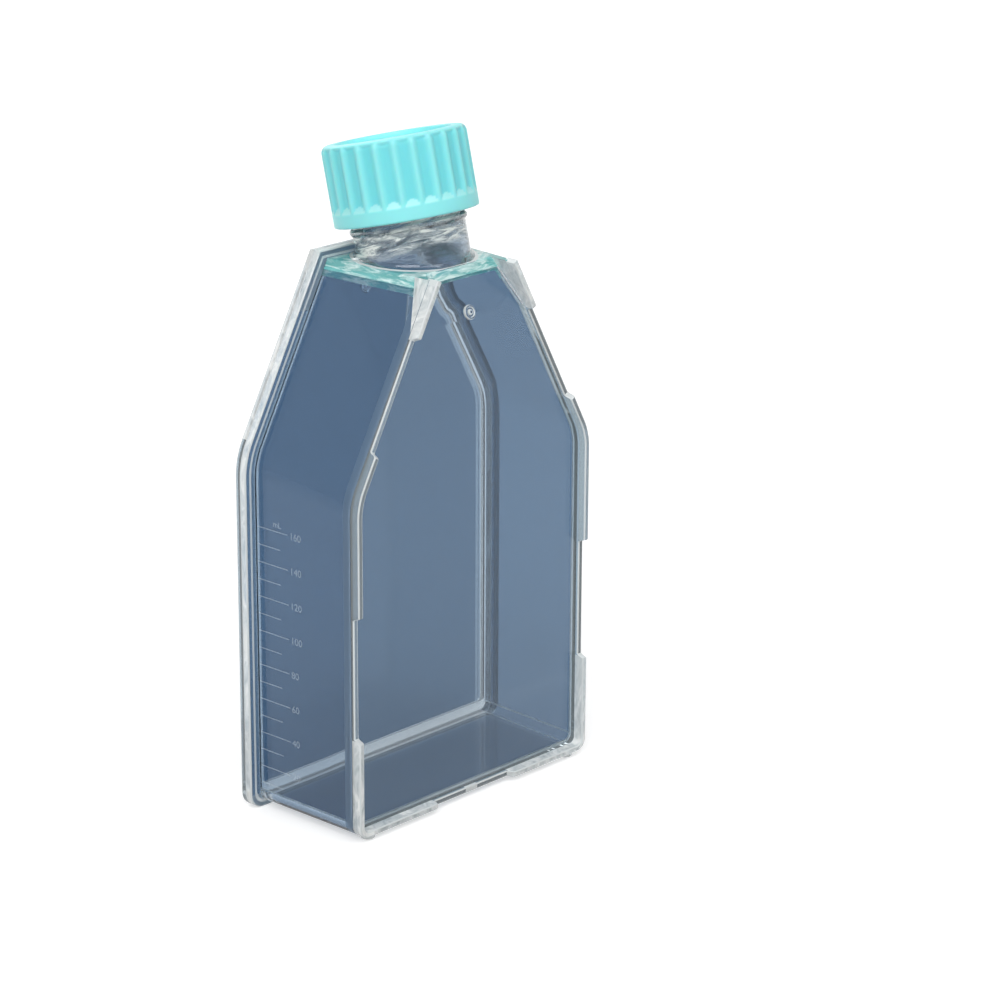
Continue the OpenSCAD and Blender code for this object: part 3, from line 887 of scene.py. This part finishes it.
# dull white, and brighter far out, where it meets the white of the room without an edge
floor_white, tree = new_material("pale_floor")
away = add(tree, "ShaderNodeVectorMath",
           {0: add(tree, "ShaderNodeTexCoord").outputs["Object"]}, operation="LENGTH")
far_glow = add(tree, "ShaderNodeMapRange", {0: away.outputs["Value"], 1: 0.4, 2: 2.0,
                                            3: 0.5, 4: 0.72})
glow = add(tree, "ShaderNodeMath", {0: backdrop_rays(tree), 1: far_glow.outputs[0]},
           operation="MULTIPLY")
matt = add(tree, "ShaderNodeBsdfDiffuse", Color=linear("#D8D8D8"))
white = add(tree, "ShaderNodeEmission", {"Strength": glow.outputs[0]})
both = add(tree, "ShaderNodeAddShader", {0: matt.outputs[0], 1: white.outputs[0]})
add(tree, "ShaderNodeOutputMaterial", {"Surface": both.outputs[0]})
bm = bmesh.new()
bmesh.ops.create_grid(bm, x_segments=1, y_segments=1, size=12)
ground = in_scene("floor", mesh_of("floor", bm, floor_white))

world = bpy.data.worlds.new("soft_white_room")
world.use_nodes = True
tree = world.node_tree
tree.nodes.clear()
strength = add(tree, "ShaderNodeMapRange", {0: backdrop_rays(tree), 3: 0.36, 4: 1.0})
room = add(tree, "ShaderNodeBackground", {"Strength": strength.outputs[0]},
           Color=linear("#FFFFFF"))
add(tree, "ShaderNodeOutputWorld", {"Surface": room.outputs[0]})
bpy.context.scene.world = world

target = Vector((0, 0, 0.08))
for name, spot, size, watts in (("key", (-0.9, -0.5, 1.1), 0.9, 11.0),
                                ("fill", (0.0, -1.0, 1.5), 1.0, 7.0),
                                ("back", (0.3, 1.1, 0.9), 1.0, 6.0)):
    lamp = bpy.data.lights.new(name, "AREA")
    lamp.size, lamp.energy = size, watts
    holder = in_scene(name, lamp)
    holder.location = spot
    holder.rotation_euler = (target - Vector(spot)).to_track_quat("-Z", "Y").to_euler()

lens = bpy.data.cameras.new("camera")
lens.lens, lens.sensor_width = 123.91, 36.0
lens.clip_start, lens.clip_end = 0.05, 50.0
camera = in_scene("camera", lens)
camera.location = (-0.55198, -0.54894, 0.33297)
aim = Vector((0.09158, 0.05721, 0.03511)) - camera.location
roll = math.radians(-0.313)
camera.rotation_mode = "QUATERNION"
camera.rotation_quaternion = (Matrix.Rotation(roll, 4, aim)
                              @ aim.to_track_quat("-Z", "Y").to_matrix().to_4x4()).to_quaternion()
bpy.context.scene.camera = camera
bpy.context.scene.view_settings.view_transform = "Standard"
